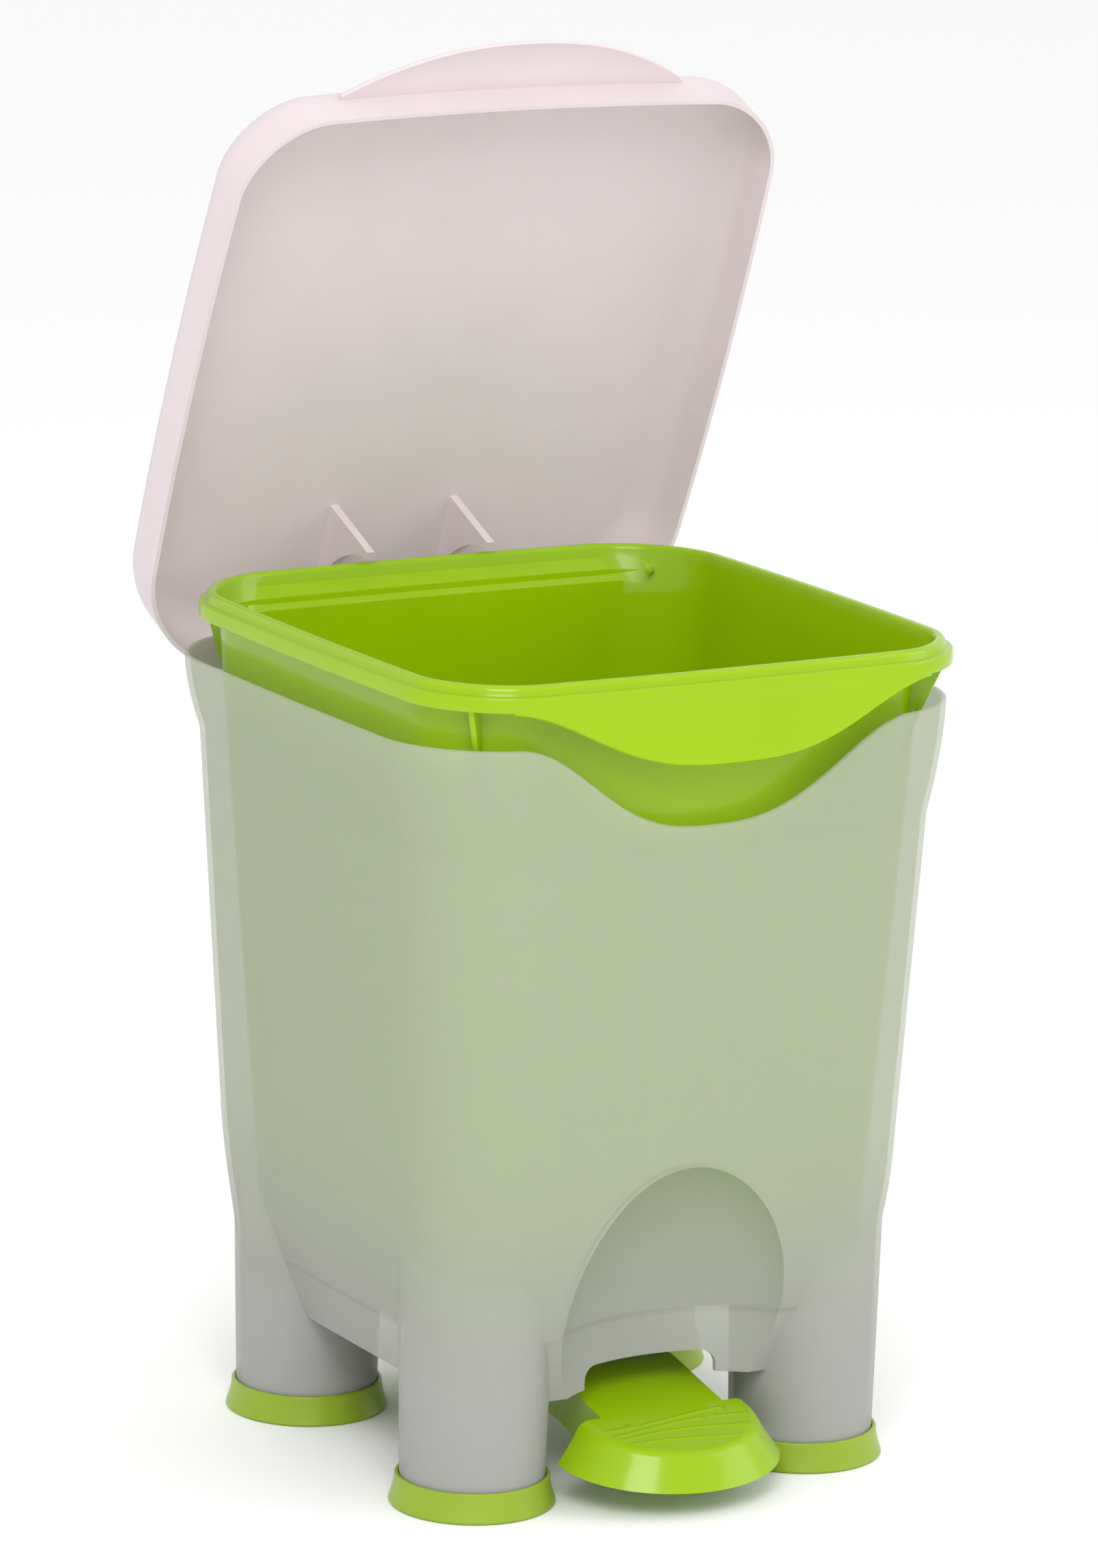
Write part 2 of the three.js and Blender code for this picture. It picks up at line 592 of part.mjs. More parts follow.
function pedalSolid() {
  const treadOuter = loft(treadRings(0, 0));
  const treadInner = loft(treadRings(tread.wall, tread.wall).map((r, k) => r.map((p) => (k === 0
    ? new THREE.Vector3(p.x, p.y, p.z - 3) : p))));
  const w = pedalArm.halfWidth;
  const rearY = wireY(armTopZ(85)) + 5;
  const ys = [tread.rearY - 12, tread.rearY + 2, pedalArm.bendY, -10, pedalPivot.y, 55, rearY];
  const top = ys.map((y) => [y, armTopZ(y)]);
  const depth = (y) => (y < tread.rearY + 2 ? 9 : pedalArm.depth - 3 * clamp((y - 30) / 60, 0, 1));
  const bottom = ys.map((y) => [y, armTopZ(y) - depth(y)]).reverse();
  const beam = plateYZ([...top, ...bottom].reverse(), -w, w);
  const cut = ys.map((y) => [y + (y === rearY ? -2 : 0), armTopZ(y) - pedalArm.wall]);
  const cutLow = ys.map((y) => [y + (y === rearY ? -2 : 0), armTopZ(y) - 40]).reverse();
  const hollow = plateYZ([...cut, ...cutLow].reverse(), -w + pedalArm.wall, w - pedalArm.wall);
  const channel = beam.subtract(hollow);
  let solid = treadOuter.subtract(treadInner).add(channel.subtract(treadInner));
  solid = solid.add(pedalEye(-1)).add(pedalEye(1));
  return solid.subtract(barX(pedalPivot.pinRadius + 0.05, -60, 60, pedalPivot.y, pedalPivot.z));
}

// the boss round the pivot pin on each flange
function pedalEye(side) {
  const x = side * pedalArm.halfWidth;
  const inner = side * (pedalArm.halfWidth - 4);
  return barX(5, Math.min(x, inner), Math.max(x, inner), pedalPivot.y, pedalPivot.z, 24);
}

// ---------------------------------------------------------------- wire and pins
// a squared hoop: top bar under the lid's cranks, bottom bar on the pedal's tail
function liftWire() {
  const span = wire.halfSpan;
  const bottomZ = armTopZ(wireY(45)) + wire.radius + crank.gap;
  const bend = 5;
  const corners = [];
  const at = (x, z) => new THREE.Vector3(x, wireY(z), z);
  const path = new THREE.CurvePath();
  const pts = [[-span, bottomZ], [span, bottomZ], [span, wireTopZ], [-span, wireTopZ]];
  pts.forEach((p, k) => {
    const prev = pts[(k + 3) % 4];
    const next = pts[(k + 1) % 4];
    const step = (a, b) => {
      const d = Math.hypot(b[0] - a[0], b[1] - a[1]);
      return [a[0] + ((b[0] - a[0]) * bend) / d, a[1] + ((b[1] - a[1]) * bend) / d];
    };
    corners.push({ in: step(p, prev), mid: p, out: step(p, next) });
  });
  const samples = [];
  corners.forEach((c) => {
    const arc = new THREE.QuadraticBezierCurve3(at(...c.in), at(...c.mid), at(...c.out));
    samples.push(...arc.getPoints(5));
  });
  const sides = 10;
  const rings = samples.map((p, i) => {
    const before = samples[(i + samples.length - 1) % samples.length];
    const after = samples[(i + 1) % samples.length];
    const along = after.clone().sub(before).normalize();
    const lean = new THREE.Vector3(0, Math.cos(rad(wire.leanDeg)), -Math.sin(rad(wire.leanDeg)));
    const across = along.clone().cross(lean).normalize();
    return Array.from({ length: sides }, (_, k) => {
      const a = (2 * Math.PI * k) / sides;
      return p.clone().addScaledVector(across, wire.radius * Math.cos(a))
        .addScaledVector(lean, wire.radius * Math.sin(a));
    });
  });
  return loft(rings.map((r) => r.reverse()), true);
}

function pin(radius, half, y, z) {
  return barX(radius - 0.02, -half, half, y, z, 24);
}

function pushCap(side, x, y, z, bore, radius) {
  const a = side * x;
  const b = side * (x + 2);
  const disc = barX(radius, Math.min(a, b), Math.max(a, b), y, z, 28);
  return disc.subtract(barX(bore + 0.1, Math.min(a, b) - 1, Math.max(a, b) + 1, y, z, 20));
}

// ---------------------------------------------------------------- assembly
const material = (color, roughness, metalness = 0) => new THREE.MeshStandardMaterial({
  color, roughness, metalness });
const frosted = material(0xbcbab6, 0.45);
const greenGloss = material(0x98c414, 0.3);
const lidFrost = material(0xd6cccc, 0.45);
const galvanised = material(0xb4b7ba, 0.35, 1);

const part = new THREE.Group();
const bin = new THREE.Group();
part.add(bin);

function place(name, solid, mat, parent = bin) {
  const mesh = new THREE.Mesh(toGeometry(solid), mat);
  mesh.name = name;
  parent.add(mesh);
}

place('outer_body', outerBody(), frosted);
place('inner_bucket', innerBucket(), greenGloss);

const lidGroup = new THREE.Group();
lidGroup.position.set(0, hinge.y, hinge.z);
lidGroup.rotation.x = -rad(lidOpenDeg);
bin.add(lidGroup);
place('lid', lidSolid().translate([0, -hinge.y, -hinge.z]), lidFrost, lidGroup);

legPlaces().forEach((leg) => {
  const mesh = new THREE.Mesh(shoeGeometry(), greenGloss);
  mesh.name = `foot_shoe_${leg.name}`;
  mesh.position.set(leg.x, leg.y, 0);
  bin.add(mesh);
});

place('pedal', pedalSolid(), greenGloss);
place('lift_wire', liftWire(), galvanised);
const pedalPinHalf = pedalPivot.lugX + pedalPivot.lugThick + 3.2;
place('pedal_pivot_pin', pin(pedalPivot.pinRadius, pedalPinHalf, pedalPivot.y, pedalPivot.z), galvanised);
place('lid_hinge_pin', pin(hinge.pinRadius, hingePinEnd - 0.2, hinge.y, hinge.z), galvanised);
[['left', -1], ['right', 1]].forEach(([name, side]) => {
  place(`pedal_pin_cap_${name}`, pushCap(side, pedalPivot.lugX + pedalPivot.lugThick + CLEAR, pedalPivot.y,
    pedalPivot.z, pedalPivot.pinRadius, 5), galvanised);
});

part.updateMatrixWorld(true);
const middle = new THREE.Box3().setFromObject(part, true).getCenter(new THREE.Vector3());
bin.position.set(-middle.x, -middle.y, 0);

export default part;
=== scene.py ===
"""A small pedal bin, finished in Blender: frosted body and lid, lime green bucket, feet and pedal.

The moulded pieces are surfaces worked out with numpy. Most of them are a square outline with round
corners and slightly bowed sides, carried up in rings: at each height the outline is pulled in by an
inset, and the inset is a simple formula of the height. Holes and legs are cut and joined with solids.
"""
# %% [markdown]
# ## The frame
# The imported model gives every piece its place. Everything here is worked out in millimetres about the
# middle of the four feet, because moulded parts are drawn that way, and turned to metres at the end.

# %% Load the frame
import math
import bpy
import numpy as np
from mathutils import Matrix, Vector


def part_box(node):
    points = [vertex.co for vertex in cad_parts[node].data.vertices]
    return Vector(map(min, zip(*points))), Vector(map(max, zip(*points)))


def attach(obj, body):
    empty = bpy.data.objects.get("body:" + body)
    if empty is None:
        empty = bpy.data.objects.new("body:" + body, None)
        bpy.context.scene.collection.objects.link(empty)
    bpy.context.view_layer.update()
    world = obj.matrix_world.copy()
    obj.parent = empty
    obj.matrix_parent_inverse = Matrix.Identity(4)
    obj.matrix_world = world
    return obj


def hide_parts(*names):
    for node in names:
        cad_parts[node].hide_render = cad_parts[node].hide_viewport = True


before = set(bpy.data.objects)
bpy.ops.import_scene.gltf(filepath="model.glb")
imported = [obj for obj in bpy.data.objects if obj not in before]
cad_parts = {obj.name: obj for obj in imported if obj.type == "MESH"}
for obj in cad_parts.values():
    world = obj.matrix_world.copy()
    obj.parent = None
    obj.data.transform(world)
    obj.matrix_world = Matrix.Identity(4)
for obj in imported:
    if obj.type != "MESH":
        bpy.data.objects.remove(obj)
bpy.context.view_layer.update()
FEET = [f"foot_shoe_{a}_{b}" for a in ("front", "back") for b in ("left", "right")]
feet_mid = sum(((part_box(n)[0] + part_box(n)[1]) / 2 for n in FEET), Vector()) / 4
SHIFT = np.array([0.0, feet_mid.y * 1000, 0.0])
print("feet are centred at", [round(v * 1000, 1) for v in feet_mid])

# %% [markdown]
# ## From numbers to meshes
# A closed skin is a stack of rings with the same number of points. Neighbouring rings are joined with
# quads, and the first and last ring are closed with a fan, or with one flat face on a plate. Cuts and joints use the Manifold boolean,
# which is quick and keeps closed skins closed.

# %% Mesh helpers
def volume(verts, quads):
    """Six times the space inside: the sum of triple products of corners about the skin's middle."""
    p, q, r, s = (verts[quads[:, k]] - verts.mean(0) for k in range(4))
    return np.einsum("ij,ij->", p, np.cross(q, r) + np.cross(r, s))


def ring_mesh(name, rings, closed=False, flat_ends=False):
    """Joins rings (R, N, 3) in mm into one skin; closed joins the last ring to the first, and
    flat_ends closes each end with one many-sided face, which may be hollow-sided."""
    r, n = rings.shape[:2]
    rows = np.arange(r if closed else r - 1)
    a = rows[:, None] * n + np.arange(n)
    b = ((rows + 1) % r)[:, None] * n + np.arange(n)
    quads = np.stack([a, np.roll(a, -1, 1), np.roll(b, -1, 1), b], -1).reshape(-1, 4)
    verts = rings.reshape(-1, 3)
    faces = quads.tolist()
    if flat_ends:
        faces += [np.arange(n)[::-1].tolist(), ((r - 1) * n + np.arange(n)).tolist()]
    elif not closed:
        verts = np.vstack([verts, rings[0].mean(0), rings[-1].mean(0)])
        low, top = np.arange(n), (r - 1) * n + np.arange(n)
        faces += np.stack([np.roll(low, -1), low, np.full(n, r * n)], -1).tolist()
        faces += np.stack([top, np.roll(top, -1), np.full(n, r * n + 1)], -1).tolist()
    if volume(verts, quads) < 0:
        faces = [f[::-1] for f in faces]
    mesh = bpy.data.meshes.new(name)
    mesh.from_pydata(((verts + SHIFT) / 1000).tolist(), [], faces)
    obj = bpy.data.objects.new(name, mesh)
    bpy.context.scene.collection.objects.link(obj)
    return obj


def combine(obj, other, how):
    """Joins ('UNION'), cuts ('DIFFERENCE') or keeps the common part ('INTERSECT'), then drops other."""
    mod = obj.modifiers.new(how, "BOOLEAN")
    mod.operation, mod.object, mod.solver = how, other, "MANIFOLD"
    bpy.context.view_layer.update()
    done = bpy.data.meshes.new_from_object(obj.evaluated_get(bpy.context.evaluated_depsgraph_get()))
    obj.modifiers.clear()
    obj.data = done
    bpy.data.objects.remove(other)
    return obj


def box(x0, x1, y0, y1, z0, z1):
    """A plain block, as two square rings, for cutting."""
    xy = np.array([[x1, y1], [x0, y1], [x0, y0], [x1, y0]], float)
    return ring_mesh("cutter", np.stack([np.c_[xy, np.full(4, z)] for z in (z0, z1)]))


def bar(radius, p, q, n=32):
    """A round bar from p to q: a circle carried along a straight line."""
    p, q = np.array(p, float), np.array(q, float)
    d = (q - p) / np.linalg.norm(q - p)
    u = np.cross(d, [0, 0, 1] if abs(d[2]) < 0.9 else [1, 0, 0])
    u /= np.linalg.norm(u)
    v = np.cross(d, u)
    t = np.linspace(0, 2 * np.pi, n, endpoint=False)[:, None]
    circle = radius * (np.cos(t) * u + np.sin(t) * v)
    return ring_mesh("bar", np.stack([p + circle, q + circle]))


def finish_piece(obj, body, nodes, material, angle=35):
    """Names the body it rides on, what it replaces and its finish, and smooths all but sharp edges."""
    obj.data.materials.clear()
    obj.data.materials.append(material)
    obj.data.polygons.foreach_set("use_smooth", np.ones(len(obj.data.polygons), bool))
    obj.data.set_sharp_from_angle(angle=math.radians(angle))
    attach(obj, body)
    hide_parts(*nodes)
    print(obj.name, "faces", len(obj.data.polygons))


# %% [markdown]
# ## Finishes
# The bin is injection-moulded polypropylene. Without pigment it is milky: light gets through, but
# the view is milky, and a fine etched texture on the mould leaves the skin dull. Pigmented lime green
# from a polished mould is glossy. A dull dielectric with an alpha below 1 gives the first, because
# each wall has two skins and light passes both: the share seen through is (1 - alpha) squared. The
# legs are milkier, because one stands behind the other. The wall beside the bucket has a little green
# painted into its base colour by height: painted light, standing in for the bucket's green light that
# scatters inside the wall. A coated dielectric gives the second.

# %% Colour and node helpers
def srgb(hexa):
    """A hex colour as linear RGBA: each channel is ((c + 0.055) / 1.055) ^ 2.4, or c / 12.92 when dark."""
    c = np.array([int(hexa[i:i + 2], 16) for i in (1, 3, 5)]) / 255
    lin = np.where(c <= 0.04045, c / 12.92, ((c + 0.055) / 1.055) ** 2.4)
    return (*lin.tolist(), 1.0)


def add(tree, kind, settings=(), **inputs):
    """Adds one node; settings are its attributes, inputs are values or sockets to link."""
    node = tree.nodes.new(kind)
    for key, value in dict(settings).items():
        setattr(node, key, value)
    for key, value in inputs.items():
        socket = node.inputs[key.replace("_", " ")] if not key.startswith("n") else node.inputs[int(key[1:])]
        if isinstance(value, bpy.types.NodeSocket):
            tree.links.new(value, socket)
        else:
            socket.default_value = value
    return node


def moulded(name, low, high, rough, grain_mm, bump, settings):
    """Moulded plastic: colour drifts between two near shades over 30 mm, and a fine grain of
    grain_mm both bumps the skin and makes its roughness uneven."""
    mat = bpy.data.materials.new(name)
    mat.use_nodes = True
    tree = mat.node_tree
    shader = tree.nodes["Principled BSDF"]
    for key, value in settings.items():
        shader.inputs[key].default_value = value
    place = add(tree, "ShaderNodeTexCoord").outputs["Object"]
    drift = add(tree, "ShaderNodeTexNoise", Vector=place, Scale=33.0, Detail=2.0)
    shade = add(tree, "ShaderNodeMix", {"data_type": "RGBA"}, n0=drift.outputs["Fac"], n6=srgb(low),
                n7=srgb(high))
    grain = add(tree, "ShaderNodeTexNoise", Vector=place, Scale=1000 / grain_mm, Detail=3.0)
    uneven = add(tree, "ShaderNodeMapRange", Value=grain.outputs["Fac"], To_Min=rough - 0.05,
                 To_Max=rough + 0.05)
    relief = add(tree, "ShaderNodeBump", Height=grain.outputs["Fac"], Strength=bump, Distance=0.0002)
    tree.links.new(shade.outputs[2], shader.inputs["Base Color"])
    tree.links.new(uneven.outputs["Result"], shader.inputs["Roughness"])
    tree.links.new(relief.outputs["Normal"], shader.inputs["Normal"])
    return mat


# %% The four plastics and the steel
frosted_pp = moulded("frosted_polypropylene", "#A9A9A5", "#B2B2AE", 0.5, 0.9, 0.2, {"IOR": 1.4})
tree = frosted_pp.node_tree
shader = tree.nodes["Principled BSDF"]
where = add(tree, "ShaderNodeTexCoord").outputs["Object"]
height = add(tree, "ShaderNodeSeparateXYZ", Vector=where).outputs["Z"]
wall = add(tree, "ShaderNodeMapRange", {"interpolation_type": "SMOOTHSTEP"}, Value=height, From_Min=0.03,
           From_Max=0.12).outputs["Result"]
veil = add(tree, "ShaderNodeMapRange", Value=wall, To_Min=0.72, To_Max=0.47)
# Painted light: a green tint mixed into the base colour above the legs stands in for the bucket's green light
# scattered through the wall.
painted_bucket_glow = add(tree, "ShaderNodeMix", {"data_type": "RGBA"}, n0=wall, n7=srgb("#B9C0A8"),
           n6=shader.inputs["Base Color"].links[0].from_socket)
tree.links.new(painted_bucket_glow.outputs[2], shader.inputs["Base Color"])
tree.links.new(veil.outputs["Result"], shader.inputs["Alpha"])
lid_pp = moulded("frosted_lid_polypropylene", "#E2D4D7", "#E9DCDF", 0.5, 0.9, 0.2,
                 {"IOR": 1.4, "Alpha": 0.8})
green_pp = moulded("lime_polypropylene_gloss", "#8EB400", "#94BA00", 0.2, 1.6, 0.05,
                   {"IOR": 1.49, "Specular IOR Level": 0.3, "Coat Weight": 0.12, "Coat Roughness": 0.1})
shoe_pp = moulded("lime_polypropylene_satin", "#86A01C", "#90AA24", 0.34, 1.2, 0.1, {"IOR": 1.49})
steel = moulded("galvanised_steel", "#A9ACAF", "#BCBFC1", 0.38, 2.5, 0.1, {"Metallic": 1.0})
print("finishes:", [m.name for m in (frosted_pp, lid_pp, green_pp, shoe_pp, steel)])

# %% [markdown]
# ## The outline that every moulding shares
# Seen from above, the bin is a square with quarter-circle corners whose sides bow outwards a little.
# The outline is a function of one parameter, and each of its points also knows which way is out, so
# a wall thickness or a draft angle is only a step along that direction.

# %% Outline and rings
CORNER_STEPS, SIDE_STEPS = 22, (36, 30, 72, 30)


def outline(hx, front, back, corner_front, corner_back, bow_x, bow_y=None):
    """Points and outward directions, anticlockwise: four quarter circles joined by straight sides,
    then each side is pulled in by bow times (distance from its middle / half length) squared."""
    bow_y = bow_x if bow_y is None else bow_y
    mid, half = (front + back) / 2, (back - front) / 2
    signs = ((1, 1), (-1, 1), (-1, -1), (1, -1))
    radii = (corner_back, corner_back, corner_front, corner_front)
    turn = np.radians(90 * np.arange(CORNER_STEPS + 1) / CORNER_STEPS)
    arcs, outs = [], []
    for k, ((sx, sy), r) in enumerate(zip(signs, radii)):
        way = np.stack([np.cos(turn + k * np.pi / 2), np.sin(turn + k * np.pi / 2)], 1)
        arcs.append(np.array([sx * (hx - r), mid + sy * (half - r)]) + r * way)
        outs.append(way)
    points, ways = [], []
    for k in range(4):
        t = np.arange(1, SIDE_STEPS[k])[:, None] / SIDE_STEPS[k]
        points += [arcs[k], arcs[k][-1] + (arcs[(k + 1) % 4][0] - arcs[k][-1]) * t]
        ways += [outs[k], np.repeat(outs[k][-1:], len(t), 0)]
    p, way = np.vstack(points), np.vstack(ways)
    p[:, 0] -= np.sign(p[:, 0]) * bow_x * ((p[:, 1] - mid) / half) ** 2 * abs(way[:, 0])
    p[:, 1] -= np.sign(p[:, 1] - mid) * bow_y * (p[:, 0] / hx) ** 2 * abs(way[:, 1])
    return p, way


def ring_at(shape, z, inset):
    """The outline at height z, moved in by inset; both may be one number or one per point."""
    p, way = shape
    return np.c_[p - way * np.reshape(inset, (-1, 1)), np.broadcast_to(z, len(p))]


def bell(x, half_width, power):
    """1 in the middle and 0 past half_width: cosine squared of a quarter turn times (x / half)^power."""
    return np.cos(np.pi / 2 * np.clip(abs(x) / half_width, 0, 1) ** power) ** 2


# %% [markdown]
# ## Outer body
# One big moulding. Its wall leans in a few degrees so that it leaves the mould, swells into a collar
# at the top, and tucks under between the legs. Wall, legs and toe recess are separate skins here, cut
# and joined the way a toolmaker would add and take away steel.

# %% The wall's outline, shoulder and inset
BODY = outline(105.8, -103.4, 109.9, 40, 40, 1.6)
RIM_Z, WALL = 265.7, 1.8
shoulder_z = 225 + 17 * np.clip((BODY[0][:, 1] + 103.4) / 213.3, 0, 1)


def body_inset(z):
    """Above the shoulder 5.4 (1 - t)^1.7, with t from shoulder to rim; below it 5.4, plus the draft of
    3.7 degrees, plus 14 u^1.7 for the tuck, with u from 0 at z 104 to 1 at z 31, but none at the back."""
    z = np.broadcast_to(z, len(BODY[0]))
    t = np.clip((z - shoulder_z) / (RIM_Z - shoulder_z), 0, 1)
    below = np.maximum(shoulder_z - z, 0) * math.tan(math.radians(3.7))
    tuck = 14 * (np.clip(104 - z, 0, None) / 73) ** 1.7 * (1 - np.maximum(BODY[1][:, 1], 0))
    return 5.4 * (1 - t) ** 1.7 + below + tuck


def front_share(x, way):
    """1 on the front face and 0 elsewhere, so that the rim's dip and the foot notch stay in front."""
    return (way[:, 1] < -0.5).astype(float)


in_front = front_share(BODY[0][:, 0], BODY[1])
rim_z = RIM_Z - in_front * 31.5 * bell(BODY[0][:, 0], 74, 1.35)
edge_z = 35 + 4 * abs(BODY[1][:, 0])
print("rim from", rim_z.min(), "to", rim_z.max())


# %% The wall as two skins joined over the rim
def wall_skin(thickness, bottom, top, steps=64):
    """Rings from bottom to shoulder and on to top; the inset is taken at each point's own height."""
    low = [bottom + (shoulder_z - bottom) * s for s in np.linspace(0, 1, steps)]
    high = [shoulder_z + (top - shoulder_z) * s for s in np.linspace(0.04, 1, 20)]
    return np.stack([ring_at(BODY, z, body_inset(z) + thickness) for z in low + high])


def rounded_rim(outer, inner, rise=0.5):
    """Two rings between outer and inner skin, raised a little, so that the rim's edge is round."""
    return np.stack([outer + (inner - outer) * s + [0, 0, rise] for s in (0.3, 0.7)])


skin, lining = wall_skin(0, edge_z, rim_z - 0.5), wall_skin(WALL, edge_z, rim_z - 0.5)
body = ring_mesh("body_moulding", np.concatenate([skin, rounded_rim(skin[-1], lining[-1]),
                                                  lining[::-1]]), closed=True)
room = wall_skin(WALL, edge_z - 4, np.full(len(BODY[0]), RIM_Z + 20))


def filled(name, thickness):
    """The wall's skin at some depth as a closed block, from under the edge to over the rim."""
    return ring_mesh(name, wall_skin(thickness, edge_z, np.full(len(BODY[0]), RIM_Z + 20)))


# %% [markdown]
# The legs are tapered tubes open at the bottom, where the green feet slip over them. A tube is cut
# away where it would stand inside the bin, and the wall is cut away where it would run inside a tube.

# %% Legs and floor
def leg(x, y, inset, z0, z1, n=96):
    """A circle whose radius goes from 24.4 at z 2.1 to 26.2 at z 88, and on along the same taper."""
    t = np.linspace(0, 2 * np.pi, n, endpoint=False)
    z = np.linspace(z0, z1, 12)[:, None]
    r = 24.4 + 1.8 * (z - 2.1) / 85.9 - inset
    return ring_mesh("leg", np.stack([x + r * np.cos(t), y + r * np.sin(t), z + 0 * t], -1))


inside = ring_mesh("inside", room)
combine(inside, box(-200, 200, -200, 200, -10, 58), "DIFFERENCE")
for x, y in ((-64, -60), (64, -60), (-64, 60), (64, 60)):
    combine(body, leg(x, y, WALL, 1, 118 - WALL), "DIFFERENCE")
    tube = combine(leg(x, y, 0, 2.1, 118), leg(x, y, WALL, 1, 118 - WALL), "DIFFERENCE")
    combine(body, tube, "UNION")
combine(body, inside, "DIFFERENCE")
floor = combine(filled("floor", 0.6), box(-200, 200, -200, 200, 58, 400), "DIFFERENCE")
combine(floor, box(-200, 200, -200, 200, -10, 56), "DIFFERENCE")
combine(body, floor, "UNION")
print("body faces", len(body.data.polygons))


# %% [markdown]
# The toe recess is a dome pushed into the front wall. Its skin is one ellipsoid less another.

# %% Toe recess, notches, lugs and slots
def dome(grow, n=96):
    """An ellipsoid about (0, -95, 42) with half axes 48, 33 and 74 mm, as rings of latitude."""
    lat = np.linspace(-0.497, 0.497, 64)[:, None] * np.pi
    t = np.linspace(0, 2 * np.pi, n, endpoint=False)
    return ring_mesh("dome", np.stack([(48 + grow) * np.cos(lat) * np.cos(t),
                                       (33 + grow) * np.cos(lat) * np.sin(t) - 95,
                                       (74 + grow) * np.sin(lat) + 42 + 0 * t], -1))


combine(body, combine(dome(WALL), filled("keep", 0.0), "INTERSECT"), "UNION")
combine(body, dome(0), "DIFFERENCE")


def notch(half, top, y0, y1, corner):
    """A passage along Y whose section is a rounded bar, with its top edge at z = top."""
    t = np.linspace(0, np.pi / 2, 9)
    right = np.c_[half - corner + corner * np.cos(t), top - corner + corner * np.sin(t)]
    left = np.c_[-right[::-1, 0], right[::-1, 1]]
    xz = np.vstack([[half, -5], right, left, [-half, -5]])
    return ring_mesh("notch", np.stack([np.c_[xz[:, 0], np.full(len(xz), y), xz[:, 1]] for y in (y1, y0)]))


combine(body, notch(25.5, 42.8, -200, -40, 5), "DIFFERENCE")
combine(body, notch(36, 53, 60, 200, 6), "DIFFERENCE")
HINGE = (101.5, 249.5)
for side in (-1, 1):
    for edge in (-1, 1):
        near = side * 23.7 + edge * 1.8
        far = near + edge * 3.2
        lug = box(min(near, far), max(near, far), HINGE[0] - 3.2, HINGE[0] + 6.5, HINGE[1] - 9, HINGE[1] + 3.6)
        combine(body, combine(lug, filled("keep", 0.4), "INTERSECT"), "UNION")
    combine(body, box(side * 23.7 - 1.8, side * 23.7 + 1.8, HINGE[0] - 10, 130, HINGE[1] - 9, 270), "DIFFERENCE")
    near, far = sorted((side * 24, side * 27.2))
    lug = combine(box(near, far, 18, 36, 33, 57), bar(6.5, (near, 27, 33), (far, 27, 33)), "UNION")
    combine(body, lug, "UNION")
combine(body, bar(1.55, (-29.4, *HINGE), (29.4, *HINGE)), "DIFFERENCE")
combine(body, bar(2.05, (-60, 27, 33), (60, 27, 33)), "DIFFERENCE")
wire_foot = 95.6 - (248.7 - 58) * math.tan(math.radians(3.4))
combine(body, box(-32.1, 32.1, wire_foot - 2.4, wire_foot + 2.4, 55, 59), "DIFFERENCE")
finish_piece(body, "body", ["outer_body"], frosted_pp, 28)

# %% [markdown]
# ## Inner bucket
# A thinner tapered tub with a rim. The rim is one profile carried round the outline: out under the
# flange, up its face, in over a step, over the round ridge and down into the tub.

# %% Bucket wall and rim
TUB = outline(97.1, -95.6, 95.5, 31, 31, 2)
FLANGE = outline(103.4, -109.6, 107.4, 36, 41, 3)


def tub_ring(z, thickness):
    """Inset 4.5 degrees of draft below z 279.3, plus 5 t^2.5 over the last 9 mm for the round bottom."""
    t = np.clip(1 - (z - 58.3) / 9, 0, 1)
    return ring_at(TUB, z, max(0, 279.3 - z) * math.tan(math.radians(4.5)) + 5 * t ** 2.5 + thickness)


heights = np.concatenate([58.3 + 9 * np.linspace(0, 1, 9), np.linspace(70, 279.3, 40)])
outside = [tub_ring(z, 0) for z in heights]
RIM_PROFILE = [(279.3, 0.5), (279.3, 0.2), (279.6, 0), (283.4, 0), (284.0, 0.25), (284.3, 0.8), (284.4, 1.6),
               (284.5, 2.2), (284.9, 2.45), (286.0, 2.6), (286.8, 2.9), (287.4, 3.5), (287.7, 4.3), (287.7, 5.0),
               (287.4, 5.8), (286.8, 6.3), (286.0, 6.6), (283.0, 7.0)]
rim = [ring_at(FLANGE, z, inset) for z, inset in RIM_PROFILE]
within = [tub_ring(z, 1.6) for z in (heights + 1.6)[heights + 1.6 < 279][::-1]]
tub = ring_mesh("bucket_moulding", np.stack(outside + rim + within))


# %% [markdown]
# The grip lip is a thin curtain that hangs from the front of the flange in the shape of a smile, and
# flares out a little so that fingers find it. Its depth is the same bell curve as the dip in the body.

# %% Grip lip, corner webs and the dent behind the toe recess
def curtain(half=80, drop=21, flare=3.2, wall=1.6):
    """For each x the section drops by drop * bell(x) and moves out by flare * share^1.6; back follows."""
    front = FLANGE[1][:, 1] < -0.5
    order = np.argsort(FLANGE[0][front, 0])
    xs = np.linspace(-half, half, 121) * 0.985
    y = np.interp(xs, FLANGE[0][front, 0][order], FLANGE[0][front, 1][order])[:, None]
    depth = drop * bell(xs, half, 1.45)[:, None] + 0.4
    t = np.linspace(0, 1, 14)[None]
    face = np.stack([xs[:, None] + 0 * t, y - flare * (depth / drop) * t ** 1.6, 280.3 - (depth + 1) * t], -1)
    tip = face[:, -1:] + [0, wall / 2, -0.5]
    return np.concatenate([face, tip, (face + [0, wall, 0])[:, ::-1]], 1)


